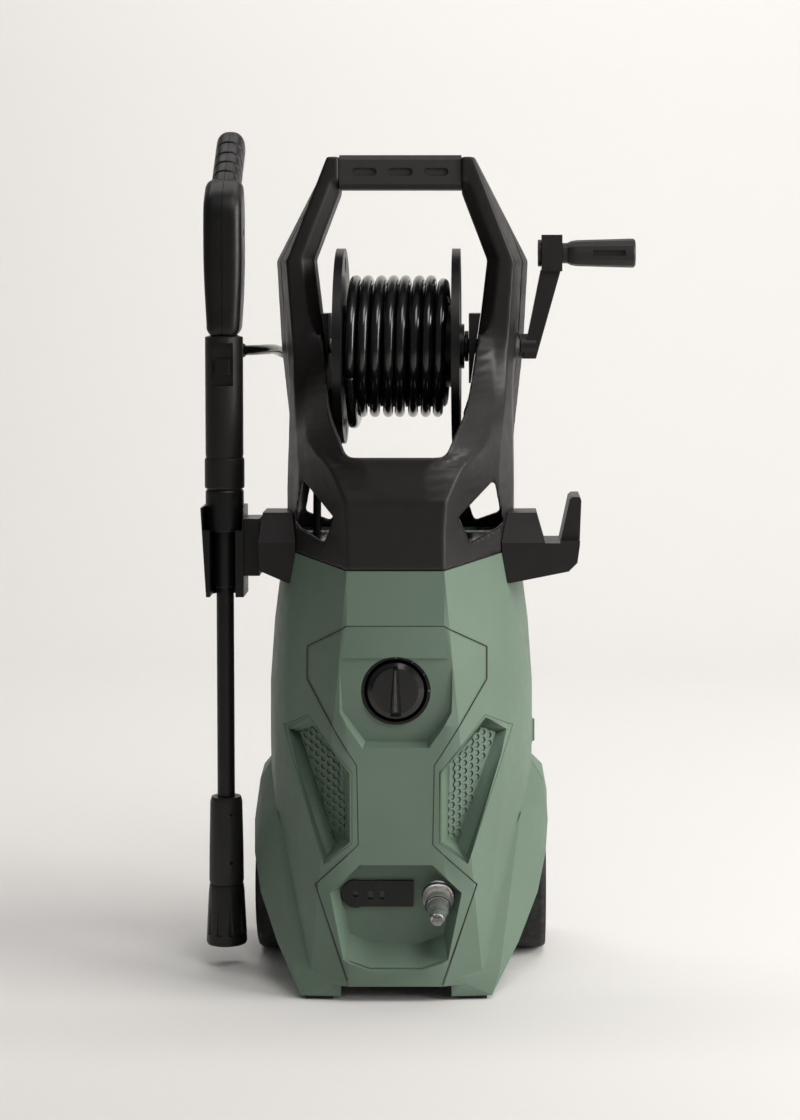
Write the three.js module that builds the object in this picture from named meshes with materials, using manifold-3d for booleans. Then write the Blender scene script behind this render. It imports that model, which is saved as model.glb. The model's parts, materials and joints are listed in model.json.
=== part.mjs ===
// Electric pressure washer: green body on two wheels, charcoal handle frame with a hose reel,
// spray gun and lance standing in a holder on the left. Millimetres, +Z up, +X to the right seen
// from the front, -Y towards the front. The origin is under the middle of the whole machine.
import * as THREE from 'three';
import { ConvexGeometry } from 'three/addons/geometries/ConvexGeometry.js';
import { mergeVertices } from 'three/addons/utils/BufferGeometryUtils.js';
import Module from 'manifold-3d';

const wasm = await Module();
wasm.setup();

// ---- driving dimensions -------------------------------------------------------------------
const MACHINE_SHIFT = [-21.6, 15.75, 0];   // symmetry plane of the body to middle of the whole box
const GAP = 0.35;                        // clearance between neighbouring pieces
const WALL = 3;                          // moulded wall of the green shells
const SHELL_SPLIT_Y = 18;                // seam between front and rear shell
const FRAME_SPLIT_Y = 40;                // seam between the halves of the handle frame
const BODY_TOP = 435.5;                  // top of the green body at its front
const BODY_TOP_SLOPE = 0.1;              // the joint with the collar rises towards the rear
const FRONT_Y = -150;
const WHEEL_AXIS = [60, 80];             // y, z
const WHEEL_RADIUS = 80;
const REEL_AXIS = [40, 656.5];           // y, z
const FLANGE_RADIUS = 105;
const HOSE_DIAMETER = 11;
const LANCE_AXIS = [-184.8, -20];        // x, y
const DIAL_Z = 314.5;
const INLET_AXIS = [42.5, 104];          // x, z
const FILLER_AXIS = [45, 240];           // y, z
const GLAND_AXIS = [70, 96];             // x, z
const ORIGIN = [0, 0, 0];

// ---- finishes -----------------------------------------------------------------------------
const finish = (color, roughness, metalness = 0) => ({ color, roughness, metalness });
const GREEN = finish(0x5f7a66, 0.62);
const CHARCOAL = finish(0x2b2726, 0.55);
const BLACK = finish(0x1c1a1a, 0.5);
const GLOSS_BLACK = finish(0x0c0c0c, 0.12);
const RUBBER = finish(0x232323, 0.85);
const STEEL = finish(0xb9bcc0, 0.3, 1);
const ALUMINIUM = finish(0xa9acb0, 0.45, 1);
const BRASS = finish(0xb28a46, 0.35, 1);
const CLEAR = finish(0xd9dfe0, 0.08);
const TANK_WHITE = finish(0xd8d6cc, 0.5);

// ---- solid modelling helpers --------------------------------------------------------------
function solid(geometry) {
  const bare = geometry.clone();
  bare.deleteAttribute('normal');
  bare.deleteAttribute('uv');
  const merged = mergeVertices(bare, 1e-4);
  const mesh = new wasm.Mesh({
    numProp: 3,
    vertProperties: new Float32Array(merged.attributes.position.array),
    triVerts: new Uint32Array(merged.index.array),
  });
  mesh.merge();
  return new wasm.Manifold(mesh);
}

function piece(name, shape, look) {
  const out = shape.getMesh();
  const geometry = new THREE.BufferGeometry();
  geometry.setAttribute('position', new THREE.BufferAttribute(new Float32Array(out.vertProperties), 3));
  geometry.setIndex(Array.from(out.triVerts));
  const flat = geometry.toNonIndexed();
  flat.computeVertexNormals();
  const mesh = new THREE.Mesh(flat, new THREE.MeshStandardMaterial(look));
  mesh.name = name;
  return mesh;
}

const union = (...shapes) => shapes.reduce((sum, shape) => sum.add(shape));
const cut = (shape, ...tools) => tools.reduce((rest, tool) => rest.subtract(tool), shape);

function box(x0, x1, y0, y1, z0, z1) {
  const geometry = new THREE.BoxGeometry(x1 - x0, y1 - y0, z1 - z0);
  geometry.translate((x0 + x1) / 2, (y0 + y1) / 2, (z0 + z1) / 2);
  return solid(geometry);
}

// Convex solid around a list of [x, y, z] corners.
function hull(points) {
  return solid(new ConvexGeometry(points.map((p) => new THREE.Vector3(...p))));
}

const mirrorX = (points) => points.map(([x, ...rest]) => [-x, ...rest]);
const bothSides = (points) => [...points, ...mirrorX(points)];

// Turned solid: profile of [radius, height] from the axis back to the axis.
function turned(profile, axis, at, segments = 32) {
  const geometry = new THREE.LatheGeometry(profile.map(([r, h]) => new THREE.Vector2(r, h)), segments);
  if (axis === 'x') geometry.rotateZ(-Math.PI / 2);
  if (axis === 'z') geometry.rotateX(Math.PI / 2);
  geometry.translate(...at);
  return orient(geometry);
}

// Closed turned ring: every profile point stays off the axis.
function ring(profile, axis, at, segments = 32) {
  return turned([...profile, profile[0]], axis, at, segments);
}

function orient(geometry) {
  const shape = solid(geometry);
  if (shape.volume() > 0) return shape;
  const index = mergeVertices(geometry, 1e-4);
  const order = index.index.array;
  for (let i = 0; i < order.length; i += 3) [order[i], order[i + 1]] = [order[i + 1], order[i]];
  return solid(index);
}

function rod(radius, axis, from, to, centre, segments = 24) {
  const geometry = new THREE.CylinderGeometry(radius, radius, to - from, segments);
  const middle = (from + to) / 2;
  const [a, b] = centre;
  if (axis === 'x') geometry.rotateZ(-Math.PI / 2).translate(middle, a, b);
  if (axis === 'y') geometry.translate(a, middle, b);
  if (axis === 'z') geometry.rotateX(Math.PI / 2).translate(a, b, middle);
  return solid(geometry);
}

// Prism along Y from an outline of [x, z] corners.
function prismY(outline, y0, y1) {
  const shape = new THREE.Shape(outline.map(([x, z]) => new THREE.Vector2(x, z)));
  const geometry = new THREE.ExtrudeGeometry(shape, { depth: y1 - y0, bevelEnabled: false });
  geometry.rotateX(Math.PI / 2);
  geometry.translate(0, y1, 0);
  return orient(geometry);
}

// Prism along X from an outline of [y, z] corners.
function prismX(outline, x0, x1) {
  const shape = new THREE.Shape(outline.map(([y, z]) => new THREE.Vector2(y, z)));
  const geometry = new THREE.ExtrudeGeometry(shape, { depth: x1 - x0, bevelEnabled: false });
  geometry.rotateY(Math.PI / 2).rotateX(Math.PI / 2);
  geometry.translate(x0, 0, 0);
  return orient(geometry);
}

// Triangles that fill an outline, turning the same way round as its corners.
function capTriangles(outline) {
  const turn = Math.sign(THREE.ShapeUtils.area(outline));
  return THREE.ShapeUtils.triangulateShape(outline, []).map(([a, b, c]) => {
    const area = THREE.ShapeUtils.area([outline[a], outline[b], outline[c]]);
    return Math.sign(area) === turn ? [a, b, c] : [a, c, b];
  });
}

// Skin through rings of [x, y, z] corners, closed by flat caps seen along capAxis.
function loft(rings, capAxis) {
  const count = rings[0].length;
  const corners = rings.flat();
  const triangles = [];
  for (let level = 0; level + 1 < rings.length; level += 1) {
    for (let i = 0; i < count; i += 1) {
      const a = level * count + i;
      const b = level * count + (i + 1) % count;
      triangles.push(a, b, b + count, a, b + count, a + count);
    }
  }
  const flatten = { x: (p) => [p[1], p[2]], y: (p) => [p[0], p[2]], z: (p) => [p[0], p[1]] }[capAxis];
  const capOf = (points) => capTriangles(points.map((p) => new THREE.Vector2(...flatten(p))));
  const last = (rings.length - 1) * count;
  for (const [a, b, c] of capOf(rings[0])) triangles.push(c, b, a);
  for (const [a, b, c] of capOf(rings.at(-1))) triangles.push(last + a, last + b, last + c);
  const geometry = new THREE.BufferGeometry();
  geometry.setAttribute('position', new THREE.BufferAttribute(new Float32Array(corners.flat()), 3));
  geometry.setIndex(triangles);
  const shape = solid(geometry);
  if (shape.volume() > 0) return shape;
  geometry.setIndex(triangles.reverse());
  return solid(geometry);
}

// Round tube along a path of [x, y, z] points.
function tube(points, radius, steps, sides = 10, smooth = false) {
  const vectors = points.map((p) => new THREE.Vector3(...p));
  const path = smooth ? new THREE.CatmullRomCurve3(vectors, false, 'centripetal') : polyline(vectors);
  const circle = new THREE.Shape();
  for (let i = 0; i < sides; i += 1) {
    const angle = (2 * Math.PI * i) / sides;
    const corner = [radius * Math.cos(angle), radius * Math.sin(angle)];
    if (i === 0) circle.moveTo(...corner);
    else circle.lineTo(...corner);
  }
  circle.closePath();
  return orient(new THREE.ExtrudeGeometry(circle, { steps, extrudePath: path }));
}

function polyline(vectors) {
  const path = new THREE.CurvePath();
  for (let i = 0; i + 1 < vectors.length; i += 1) path.add(new THREE.LineCurve3(vectors[i], vectors[i + 1]));
  return path;
}

// Moves an outline's corners away from its centre by a fixed distance on each side.
function offset(outline, distance) {
  const area = THREE.ShapeUtils.area(outline.map(([x, y]) => new THREE.Vector2(x, y)));
  const side = Math.sign(area);
  return outline.map((corner, i) => {
    const before = outline[(i + outline.length - 1) % outline.length];
    const after = outline[(i + 1) % outline.length];
    const normal = ([ax, ay], [bx, by]) => {
      const length = Math.hypot(bx - ax, by - ay);
      return [(side * (by - ay)) / length, (-side * (bx - ax)) / length];
    };
    const [nx, ny] = normal(before, corner);
    const [mx, my] = normal(corner, after);
    const scale = distance / (1 + nx * mx + ny * my);
    return [corner[0] + (nx + mx) * scale, corner[1] + (ny + my) * scale];
  });
}

// ---- green body ---------------------------------------------------------------------------
const bodyTopAt = (y) => BODY_TOP + BODY_TOP_SLOPE * (y - FRONT_Y);

// Half plan of the body at a few heights: front crease, facet end, widest side, rear corner, back.
const BODY_PLAN = [
  { z: 17, plan: [[47, -163], [88, -146], [106, -60], [112, 20], [108, 80], [80, 100]] },
  { z: 110, plan: [[46, -160], [84, -137], [128, -50], [136, 8], [128, 88], [84, 110]] },
  { z: 165, plan: [[46, -157], [84, -132], [130, -48], [138.5, 10], [132, 92], [88, 112]] },
  { z: 240, plan: [[46, -154], [105, -98], [131, -45], [140, 12], [134, 95], [90, 112]] },
  { z: 300, plan: [[47, -152], [117, -84], [131, -45], [140, 15], [134, 95], [90, 112]] },
  { z: 366, plan: [[49, -150], [114, -80], [127, -42], [135.5, 18], [131, 90], [88, 110]] },
  { z: 403, plan: [[49, -150], [111, -72], [123, -38], [130.8, 18], [126, 84], [86, 106]] },
  { z: null, plan: [[49, -150], [107, -62], [117, -30], [121, 18], [118, 74], [84, 98]] },
];

function bodyHull(inset, dropTop, floor = 17) {
  const points = [];
  for (const { z, plan } of BODY_PLAN) {
    for (const [x, y] of plan) {
      const depth = y > 0 ? y - inset : y + inset;
      const height = z === null ? bodyTopAt(y) - dropTop : Math.max(z, floor);
      points.push([x - inset, depth, height]);
    }
  }
  return hull(bothSides(points));
}

// Mudguard and front leg of one side, before the wheel well is cut out.
function fenderHull(side) {
  const points = [
    [56, -153, 4.3], [97, -149, 4.3], [97, -108, 4.3], [56, -108, 4.3],
    [56, -158, 26], [105, -142, 26], [125, -100, 47], [145, -60, 88], [154, -28, 122],
    [157, 6, 150], [157, 60, 172], [154, 96, 168], [152, 70, 198], [152, 20, 192], [146, -24, 170],
    [134, 24, 224], [127, -60, 170], [128, 90, 200], [100, 20, 100], [100, 104, 170],
  ];
  return hull(side > 0 ? points : mirrorX(points));
}

function wheelWell(side) {
  const [y, z] = WHEEL_AXIS;
  const inner = 113;
  return rod(WHEEL_RADIUS + 8, 'x', side > 0 ? inner : -180, side > 0 ? 180 : -inner, [y, z], 40);
}

// Centre panel seam, one half, from the top down.
const PANEL_HALF = [[49, 380.5], [92, 354], [92, 321], [39, 240], [37.5, 160.5], [82, 117], [47, 15]];
const PANEL_OUTLINE = [...PANEL_HALF, ...mirrorX(PANEL_HALF).reverse()];
const VENT_OUTLINE = [[118.7, 268.5], [90, 285], [44, 233], [44, 162], [72.5, 138.6]];
const VENT_FLOOR = [[101, 262], [86, 270], [54, 236], [53, 163], [62, 155]];
const DIAL_SHIELD = [[57, 347], [54, 294], [31, 262], [-31, 262], [-54, 294], [-57, 347]];
const POCKET_MOUTH_HALF = [[36.5, 139], [68, 110], [52, 44], [26, 35]];
const POCKET_MOUTH = [...POCKET_MOUTH_HALF, ...mirrorX(POCKET_MOUTH_HALF).reverse()];
const POCKET_FLOOR_HALF = [[34, 133], [58, 109], [48, 62], [24, 52]];
const POCKET_FLOOR = [...POCKET_FLOOR_HALF, ...mirrorX(POCKET_FLOOR_HALF).reverse()];
const VENT_DEPTH = 16;
const POCKET_BACK_Y = -128;
const SHIELD_TOP_Y = -150.6;            // its floor starts flush and deepens downwards
const SHIELD_SLOPE = 0.097;

const ring2y = (outline, y) => outline.map(([x, z]) => [x, y, z]);

function bodyOuter() {
  return union(bodyHull(0, 0), fenderHull(1), fenderHull(-1));
}

function shellBlank() {
  const inside = bodyHull(WALL, -5, 0);
  const axleHole = rod(7, 'x', -140, 140, WHEEL_AXIS);
  return cut(bodyOuter(), inside, wheelWell(1), wheelWell(-1), axleHole);
}

function frontShell(blank) {
  const panelSlot = prismY(offset(PANEL_OUTLINE, GAP / 2), -220, -60);
  const right = prismY(offset(VENT_OUTLINE, GAP / 2), -220, -40);
  const left = prismY(offset(mirrorX(VENT_OUTLINE), GAP / 2), -220, -40);
  const notch = box(-50, 50, -200, -60, 0, 17);
  const front = box(-200, 200, -220, SHELL_SPLIT_Y, -5, 500);
  return cut(blank.intersect(front), panelSlot, right, left, notch);
}

function rearShell(blank) {
  const rear = box(-200, 200, SHELL_SPLIT_Y + GAP, 220, -5, 500);
  const [y, z] = FILLER_AXIS;
  const fillerHole = rod(17, 'x', 100, 160, [y, z]);
  const glandHole = rod(9, 'y', 90, 130, GLAND_AXIS);
  return cut(blank.intersect(rear), fillerHole, glandHole);
}

function frontPanel() {
  const slab = prismY(offset(PANEL_OUTLINE, -GAP / 2), -220, -60);
  const skin = cut(bodyHull(0, 0), bodyHull(WALL, -5, 0));
  const trayBacks = union(
    prismY(offset(POCKET_FLOOR, 3), POCKET_BACK_Y - 20, POCKET_BACK_Y + 3),
    prismY(offset(DIAL_SHIELD, 4.5), -156, -139.3),
  );
  const body = union(skin, trayBacks.intersect(bodyHull(0.2, 0, 0))).intersect(slab);
  const shieldFloor = DIAL_SHIELD.map(([x, z]) => [x, SHIELD_TOP_Y + SHIELD_SLOPE * (347 - z), z]);
  const shield = loft([ring2y(offset(DIAL_SHIELD, 6), -160), shieldFloor], 'y');
  const pocket = loft([ring2y(offset(POCKET_MOUTH, 6), -175), ring2y(POCKET_MOUTH, -157),
    ring2y(POCKET_FLOOR, POCKET_BACK_Y)], 'y');
  const rim = loft([ring2y(offset(POCKET_MOUTH, 2.6), -157),
    ring2y(offset(POCKET_FLOOR, 3), POCKET_BACK_Y)], 'y');
  const walls = rim.intersect(bodyHull(0.2, 0, 0)).intersect(slab);
  const dialHole = rod(35, 'y', -170, -100, [0, DIAL_Z], 40);
  const inletHole = rod(9, 'y', -170, -100, INLET_AXIS);
  const inletRecess = rod(16.8, 'y', -200, POCKET_BACK_Y, INLET_AXIS, 32);
  return cut(union(body, walls), shield, pocket, dialHole, inletHole, inletRecess);
}

function ventInsert(side) {
  const flip = (outline) => (side > 0 ? outline : mirrorX(outline));
  const plug = prismY(offset(flip(VENT_OUTLINE), -GAP / 2), -220, -70).intersect(bodyHull(0, 0));
  const facet = [[44, -153], [119, -88]];
  const behind = ([x]) => facet[0][1] + ((Math.abs(x) - facet[0][0]) * (facet[1][1] - facet[0][1])) / 75;
  const slanted = (outline, depth) => outline.map((p) => [p[0], behind(p) + depth, p[1]]);
  const bowl = loft([slanted(flip(offset(VENT_OUTLINE, 1)), -30),
    slanted(flip(offset(VENT_OUTLINE, -2.5)), -3), slanted(flip(VENT_FLOOR), VENT_DEPTH - 3)], 'y');
  const back = loft([slanted(flip(offset(VENT_OUTLINE, 4)), VENT_DEPTH),
    slanted(flip(offset(VENT_OUTLINE, 4)), VENT_DEPTH + 100)], 'y');
  return cut(plug, bowl, back, ...honeycomb(side, flip(VENT_FLOOR), behind));
}

// Hexagonal air holes over the floor of one vent.
function honeycomb(side, floor, behind) {
  const pitch = 11.5;
  const radius = 4.2;
  const holes = [];
  const inside = offset(floor, -radius - 0.6);
  for (let column = 0; column < 6; column += 1) {
    const x = side * (58 + column * pitch * 0.866);
    for (let row = 0; row < 12; row += 1) {
      const z = 168 + (row + (column % 2) / 2) * pitch;
      if (!contains(inside, x, z)) continue;
      const hole = new THREE.CylinderGeometry(radius, radius, 40, 6);
      hole.rotateY(Math.PI / 6).translate(x, behind([x]) + 12, z);
      holes.push(solid(hole));
    }
  }
  return holes;
}

function contains(outline, x, z) {
  let inside = false;
  outline.forEach(([x1, z1], i) => {
    const [x0, z0] = outline[(i + outline.length - 1) % outline.length];
    const crosses = (z0 > z) !== (z1 > z) && x < ((x0 - x1) * (z - z1)) / (z0 - z1) + x1;
    if (crosses) inside = !inside;
  });
  return inside;
}

function baseTray() {
  const floor = bodyHull(WALL + GAP, 0, 20).intersect(box(-104, 104, -140, 130, 20, 40));
  const hollow = box(-96, 96, -132, 88, 23, 60);
  const [y, z] = WHEEL_AXIS;
  const post = (x) => box(x - 7, x + 7, y - 14, y + 14, 22, z + 14);
  const axleBore = rod(6.35, 'x', -130, 130, WHEEL_AXIS);
  return cut(union(cut(floor, hollow), post(80), post(-80)), axleBore);
}

// ---- handle frame -------------------------------------------------------------------------
const OPENING_HALF = [[64.5, 821], [92, 749], [85.5, 693], [75.5, 622], [71.5, 600], [67.3, 587], [51, 552],
  [46, 549]];
const OPENING = [...OPENING_HALF, ...mirrorX(OPENING_HALF).reverse()];
const OUTER_FRONT = [[77.5, 858], [120.5, 748], [114, 655], [106, 566], [100, 520]];
const OUTER_WIDEST = [[79, 860], [136.5, 748], [131.5, 655], [122, 567], [118, 520]];
const OUTER_REAR = [[76, 857], [133, 748], [128, 655], [118.5, 567], [115, 520]];
const fullOutline = (half) => [...half, ...mirrorX(half).reverse()];

// Half plan of the collar at a few heights: inner front, crease, facet corner, sides, rear. Above the
// rim its front leans back into the two uprights.
const COLLAR_PLAN = [
  { z: null, plan: [[30, -150], [49, -150], [107, -62], [119, -12], [121, 30], [116, 76]] },
  { z: 470, plan: [[30, -150], [49, -150], [106, -60], [119.5, -10], [121, 30], [116, 74]] },
  { z: 505, plan: [[30, -150], [51, -150], [104, -56], [120, -6], [121, 30], [114, 73]] },
  { z: 538, plan: [[30, -140.5], [67, -132], [105, -52], [119.5, 0], [120.8, 30], [113.5, 72]] },
  { z: 552, plan: [[50, -137], [83, -104], [106, -46], [119, 3], [120.6, 30], [113, 72]] },
  { z: 566, plan: [[58, -124], [94, -75], [107.5, -39], [118.8, 4], [120.4, 31], [113, 72]] },
  { z: 584, plan: [[67, -101], [97.5, -50], [109.5, -28], [118.4, 6], [120.4, 31], [113, 72]] },
  { z: 600, plan: [[72, -80], [98.5, -34], [111, -18], [118.4, 9], [120.4, 32], [113, 72]] },
  { z: 622, plan: [[75.5, -48], [99, -17], [112.5, -8], [119, 13], [121, 32], [114, 72]] },
  { z: 655, plan: [[79.8, -11], [99.5, -4], [113, -1], [121, 18], [124, 34], [117, 72]] },
  { z: 690, plan: [[84.5, 6], [98.8, 1], [115, 1.5], [121.5, 20], [126, 36], [120, 71]] },
  { z: 730, plan: [[91, 16], [102, 5], [117, 4], [122, 22], [127, 40], [121, 70]] },
];
const STEPS_BETWEEN_PLANS = 3;
const CAVITY_TOP = 612;
const BEVEL_FOOT_Z = 690;
const REAR_OPENING = [[-66, 530], [66, 530], [66, 600], [-66, 600]];

function collarBlock(inset, lift) {
  const rings = COLLAR_PLAN.map(({ z, plan }) => {
    const half = plan.map(([x, y]) => {
      const depth = y > 20 ? y - inset : y + inset * 1.3;
      const height = z === null ? bodyTopAt(y) + lift : z;
      return [x - inset, depth, height];
    });
    return [...half, ...mirrorX(half).reverse()];
  });
  return loft([...rings.slice(0, 2), ...smoothed(rings.slice(2), STEPS_BETWEEN_PLANS)], 'z');
}

// Adds rings between the given ones, each corner following a smooth line.
function smoothed(rings, steps) {
  const lines = rings[0].map((_, corner) => {
    const through = rings.map((ring) => new THREE.Vector3(...ring[corner]));
    return new THREE.CatmullRomCurve3(through, false, 'catmullrom').getPoints((rings.length - 1) * steps);
  });
  return lines[0].map((_, level) => lines.map((line) => line[level].toArray()));
}

// The collar is an open-topped shell: the reel hangs over the deck plate.
function collarCavity() {
  return collarBlock(6, -8).intersect(box(-130, 130, -150, 120, 400, CAVITY_TOP));
}

const WINDOW = [[99.5, 521], [63, 487.6], [74.5, 459.5], [109, 473]];
const REAR_WINDOW = [[98, 519], [70, 492], [78, 466], [106, 476]];

function frameBlank() {
  const uprights = loft([ring2y(fullOutline(OUTER_FRONT), 0), ring2y(fullOutline(OUTER_WIDEST), 68),
    ring2y(fullOutline(OUTER_REAR), 72)], 'y');
  const crankBoss = rod(14, 'x', 100, CRANK_X - GAP, REEL_AXIS, 28);
  const outer = union(uprights, collarBlock(0, GAP), crankBoss);
  const opening = prismY(OPENING, -200, 120);
  const above = (outline) => outline.map(([x, z]) => [x, Math.max(z, BEVEL_FOOT_Z)]);
  const throat = above(OPENING);
  const bevelFoot = [[-79.5, -1, 640], [79.5, -1, 640]];
  const wider = ring2y(above(offset(OPENING, 13.5)), -1);
  const wide = ring2y(above(offset(OPENING, 12.5)), 0);
  const frontBevel = hull([...wider, ...wide, ...ring2y(throat, 13), ...bevelFoot]);
  const rearBevel = hull([...ring2y(offset(throat, 8), 72.5), ...ring2y(throat, 64)]);
  const windows = [1, -1].flatMap((side) => {
    const flip = (outline) => (side > 0 ? outline : mirrorX(outline));
    return [prismY(flip(WINDOW), -200, 30), prismY(flip(REAR_WINDOW), 30, 120)];
  });
  const crossbar = box(-68, 68, 14, 60, 829, 853);
  const gripSeat = box(-65, 65, -10, 90, 815, 880);
  const rearThroat = prismY(REAR_OPENING, -60, 120);
  const body = cut(outer, opening, frontBevel, rearBevel, rearThroat, collarCavity(), ...windows, gripSeat);
  return cut(union(body, crossbar), shaftBore(), spigotBore(), pipeChannel(), reelClearance());
}

// The reel's flanges reach below the opening's narrow part, inside the frame.
function reelClearance() {
  return rod(FLANGE_RADIUS + 4, 'x', -71.5, 66, REEL_AXIS, 48);
}

function spigotBore() {
  return rod(9, 'x', -92, -60, REEL_AXIS);
}

function shaftBore() {
  return rod(8.4, 'x', 60, 150, REEL_AXIS);
}

// ---- supply pipe from the pump up the left upright to the reel -----------------------------
const PIPE_RADIUS = 4.5;
const PIPE_PATH = [[-54.6, -67, 104], [-72, -66, 106], [-87, -48, 120], [-92, -10, 150], [-92, 30, 200],
  [-92, 40, 260], [-92, 40, 420], [-92, 40, 540], [-98, 40, 600], [-101, 40, 636], [-98, 40, 650],
  [-88.8, 40, 656.5]];

function supplyPipe() {
  return tube(PIPE_PATH, PIPE_RADIUS, 26, 8, true);
}

function pipeChannel() {
  const outline = [[-86, 440], [-86, 545], [-91, 600], [-91, 642], [-85, 648], [-85, 665], [-104, 665],
    [-108, 640], [-104, 596], [-98, 540], [-98, 440]];
  return prismY(outline, FRAME_SPLIT_Y - 6, FRAME_SPLIT_Y + 6);
}

function topGrip() {
  const section = [[3, 829], [7, 824], [60, 824], [66, 830], [66, 853], [60, 860], [9, 860], [3, 855]];
  const bar = prismX(section, -65 + GAP, 65 - GAP);
  const tunnel = box(-80, 80, 14 - GAP, 60 + GAP, 829 - GAP, 853 + GAP);
  const slotEnd = (x) => rod(4.2, 'y', 0, 5.5, [x, 842.2], 16);
  const slot = (x) => union(slotEnd(x - 9), slotEnd(x + 9), box(x - 9, x + 9, 0, 5.5, 838, 846.4));
  return cut(bar, tunnel, slot(-38), slot(0), slot(38));
}

// ---- arms, holder, hook -------------------------------------------------------------------
const ARM_FRONT_Y = -62;
const ARM_REAR_Y = 14;

function collarSide() {
  return collarBlock(-2 * GAP, -GAP);
}

function bodySide() {
  return bodyHull(-GAP, -GAP);
}

function armFrontSlope() {
  return prismX([[ARM_FRONT_Y - 5, 455], [ARM_FRONT_Y, 455], [-30, 490], [-30, 530], [-80, 530]], -300, 300);
}

function leftArm() {
  const outline = [[-90, 484], [-143.4, 484], [-146, 455.5], [-144.5, 425.5], [-114.7, 412.5], [-90, 430]];
  const block = prismY(outline, ARM_FRONT_Y, ARM_REAR_Y);
  return cut(block, armFrontSlope(), collarSide(), bodySide());
}

function cableHook() {
  const outline = [[90, 484], [144, 484], [152.5, 454.5], [168.5, 454.5], [178, 499], [181, 502], [189, 502],
    [190.3, 498], [188.5, 452], [186, 434], [177, 425], [114.7, 412.5], [90, 430]];
  const block = prismY(outline, ARM_FRONT_Y, ARM_REAR_Y);
  const setBack = box(160, 200, ARM_FRONT_Y - 1, ARM_FRONT_Y + 9, 457, 510);
  return cut(block, armFrontSlope().intersect(box(80, 156, -90, 60, 400, 540)), setBack,
    collarSide(), bodySide());
}

// Step inside the holder that carries the shoulder of the lance.
const HOLDER_SEAT_Z = 463;

function lanceHolder() {
  const [x, y] = LANCE_AXIS;
  const section = [[-23, -26], [22, -26], [22, 26], [-23, 26]];
  const outer = loft([
    section.map(([u, v]) => [x + Math.max(u, -17.5), y + v, 396]),
    section.map(([u, v]) => [x + u, y + v, 490]),
  ], 'z');
  const ringSeat = rod(20.8, 'z', HOLDER_SEAT_Z, 520, [x, y], 28);
  const throat = rod(13.4, 'z', 380, 500, [x, y], 28);
  const mouth = box(x - 13.4, x + 13.4, y - 40, y, 380, 466);
  const upperMouth = box(x - 20.8, x + 20.8, y - 40, y, 466, 520);
  const link = box(x + 20, -146.4, -42, 4, 418, 478);
  return cut(union(outer, link), ringSeat, throat, mouth, upperMouth);
}
// ---- reel ---------------------------------------------------------------------------------
const FLANGE_INNER_X = [-60, 54.5];
const FLANGE_RIM = 9;
const DRUM_RADIUS = 44;
const WINDING_X = [-58.6, 53.6];
const WINDING_RADII = [DRUM_RADIUS + GAP, 76.5];
const CRANK_X = 128;                     // outer face of the frame's bearing boss plus clearance

function bearingBracket(side) {
  const span = side > 0 ? [72.5, 92] : [-92, -77];
  const plate = box(...span, 8, 68, 618, 692);
  const seat = prismY(offset(OPENING, -GAP), -20, 120);
  const bore = rod(side > 0 ? 8.4 : 9, 'x', -100, 100, REEL_AXIS);
  return cut(plate.intersect(seat), bore);
}

const FLANGE_WINDOWS = 6;

// Dished disc with a thick rim; side is -1 for the left flange and 1 for the right.
function flange(side) {
  const inner = FLANGE_INNER_X[side < 0 ? 0 : 1];
  const profile = [[12, 0], [FLANGE_RADIUS, 0], [FLANGE_RADIUS, FLANGE_RIM], [100, FLANGE_RIM], [97, 4],
    [60, 8], [24, 8], [24, 13], [12, 13]].map(([r, outwards]) => [r, inner + side * outwards]);
  const disc = ring(profile, 'x', [0, ...REEL_AXIS], 44);
  const [y, z] = REEL_AXIS;
  const windows = [];
  for (let i = 0; i < FLANGE_WINDOWS; i += 1) {
    const angle = Math.PI / 2 + (2 * Math.PI * i) / FLANGE_WINDOWS;
    windows.push(rod(9, 'x', -90, 90, [y + 87 * Math.cos(angle), z + 87 * Math.sin(angle)], 12));
  }
  return cut(disc, ...windows);
}

function drumCore() {
  const [from, to] = [FLANGE_INNER_X[0] + GAP, FLANGE_INNER_X[1] - GAP];
  return ring([[9.2, from], [DRUM_RADIUS, from], [DRUM_RADIUS, to], [9.2, to]], 'x', [0, ...REEL_AXIS], 32);
}

function reelShaft() {
  const hubEnd = FLANGE_INNER_X[1] + 13;
  return union(
    rod(8, 'x', -20, 135, REEL_AXIS, 28),
    rod(16.5, 'x', hubEnd + GAP, 72, REEL_AXIS, 28),
    rod(11.4, 'x', FLANGE_INNER_X[1] + GAP, hubEnd + 1, REEL_AXIS, 28),
  );
}

function reelSpigot() {
  return rod(8.4, 'x', -85.8, -58, REEL_AXIS);
}

// The crank leans outwards from its boss to the grip.
const CRANK_HANDLE_Z = REEL_AXIS[1] + 100;

function crankArm() {
  const [y, z] = REEL_AXIS;
  const boss = rod(13.5, 'x', CRANK_X, 144.4, REEL_AXIS, 28);
  const lower = [[130.6, -12, z - 13], [144.4, -12, z - 13], [144.4, 12, z - 13], [130.6, 12, z - 13]];
  const upper = [[149.5, -11, z + 82], [171, -11, z + 82], [171, 11, z + 82], [149.5, 11, z + 82]];
  const arm = hull([...lower, ...upper].map(([a, b, c]) => [a, y + b, c]));
  const head = box(150.5, 172.5, y - 15, y + 15, CRANK_HANDLE_Z - 19.5, CRANK_HANDLE_Z + 19.5);
  const socket = rod(8 + GAP, 'x', 100, 136, REEL_AXIS, 28);
  const pinBore = rod(6 + GAP, 'x', 140, 180, [y, CRANK_HANDLE_Z]);
  return cut(union(boss, arm, head), socket, pinBore);
}

function crankSpindle() {
  const at = [0, REEL_AXIS[0], CRANK_HANDLE_Z];
  return turned([[0, 146.5], [14.5, 146.5], [14.5, 150.1], [6, 150.1], [6, 240], [0, 240]], 'x', at, 24);
}

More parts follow.
